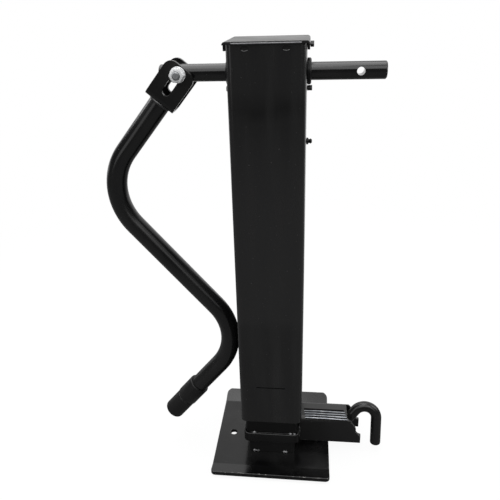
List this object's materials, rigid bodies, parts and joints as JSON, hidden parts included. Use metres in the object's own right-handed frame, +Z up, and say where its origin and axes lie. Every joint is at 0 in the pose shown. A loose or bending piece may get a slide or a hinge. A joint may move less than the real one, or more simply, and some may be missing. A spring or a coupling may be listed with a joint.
{
  "type": "square drop-leg trailer jack",
  "caption": "Square weld-on trailer jack with a folding side crank, bevel-geared screw leg, spring-pinned drop leg and wide foot plate.",
  "frame": {"origin": "on the square tube's axis, at the sole of the foot plate", "axes": "+X to the bare coupling end of the cross shaft, +Y to the back, +Z up along the tube"},
  "size_m": [0.3267, 0.1621, 0.5122],
  "materials": {
    "black_paint": "glossy black paint over steel",
    "zinc_plate": "bright zinc plating on steel",
    "plain_steel": "oiled machined steel",
    "bronze": "oiled sintered bronze",
    "black_grip": "semi-gloss black dipped vinyl"
  },
  "bodies": {
    "housing": {"outer_tube": "black_paint", "top_cap": "black_paint", "right_cap_screw": "black_paint", "left_cap_screw": "black_paint", "left_shaft_bush": "black_paint", "right_shaft_bush": "black_paint", "right_bush_screw": "black_paint", "left_bush_screw": "black_paint", "grease_fitting": "black_paint", "bearing_plate": "plain_steel", "thrust_washer": "bronze", "upper_bearing_race": "plain_steel", "bearing_ball_1": "plain_steel", "bearing_ball_2": "plain_steel", "bearing_ball_3": "plain_steel", "bearing_ball_4": "plain_steel", "bearing_ball_5": "plain_steel", "bearing_ball_6": "plain_steel", "bearing_ball_7": "plain_steel", "bearing_ball_8": "plain_steel", "bearing_ball_9": "plain_steel", "bearing_ball_10": "plain_steel"},
    "crank_shaft": {"input_shaft": "black_paint", "bevel_pinion": "plain_steel", "pinion_pin": "plain_steel", "shaft_collar": "plain_steel", "collar_pin": "plain_steel", "handle_bolt": "zinc_plate", "handle_nut": "zinc_plate", "front_handle_washer": "zinc_plate", "back_handle_washer": "zinc_plate"},
    "handle": {"handle_yoke": "black_paint", "handle_tube": "black_paint", "handle_grip": "black_grip"},
    "screw": {"lead_screw": "plain_steel", "bevel_gear": "plain_steel", "gear_pin": "plain_steel", "lower_bearing_race": "plain_steel"},
    "inner_leg": {"inner_tube": "black_paint", "screw_nut": "bronze", "leg_collar": "black_paint", "plunger_bracket": "black_paint", "plunger_guide": "black_paint", "plunger_spring": "zinc_plate"},
    "spring_seat": {"plunger_washer": "zinc_plate"},
    "plunger": {"plunger_pin": "black_paint", "plunger_roll_pin": "plain_steel"},
    "drop_leg": {"drop_leg_tube": "black_paint", "foot_plate": "black_paint"}
  },
  "joints": [
    {"name": "crank_turn", "type": "hinge", "parent": "housing", "child": "crank_shaft", "pos_m": [0, 0, 0.481], "axis": [1, 0, 0], "range_deg": [0, 27000]},
    {"name": "handle_fold", "type": "hinge", "parent": "crank_shaft", "child": "handle", "pos_m": [-0.0895, 0, 0.481], "axis": [0, 1, 0], "range_deg": [0, 50.1]},
    {"name": "screw_spin", "type": "hinge", "parent": "housing", "child": "screw", "pos_m": [0, 0, 0.481], "axis": [0, 0, 1], "range_deg": [0, 18001]},
    {"name": "leg_slide", "type": "slide", "parent": "housing", "child": "inner_leg", "axis": [0, 0, -1], "range_m": [0, 0.3175]},
    {"name": "drop_leg_slide", "type": "slide", "parent": "inner_leg", "child": "drop_leg", "axis": [0, 0, -1], "range_m": [0, 0.3]},
    {"name": "pin_draw", "type": "slide", "parent": "inner_leg", "child": "spring_seat", "axis": [1, 0, 0], "range_m": [0, 0.015], "stiffness_N_per_m": 1500, "springref_m": -0.02, "deforming": ["plunger_spring"]},
    {"name": "pin_turn", "type": "hinge", "parent": "spring_seat", "child": "plunger", "pos_m": [0, 0, 0.0358], "axis": [1, 0, 0], "range_deg": [0, 105.1]}
  ],
  "couplings": [
    {"joint": "screw_spin", "follows": "crank_turn", "ratio": 0.66667},
    {"joint": "leg_slide", "follows": "crank_turn", "m_per_rad": 0.00067375},
    {"joint": "pin_turn", "follows": "pin_draw", "rad_per_m": 122.17}
  ]
}
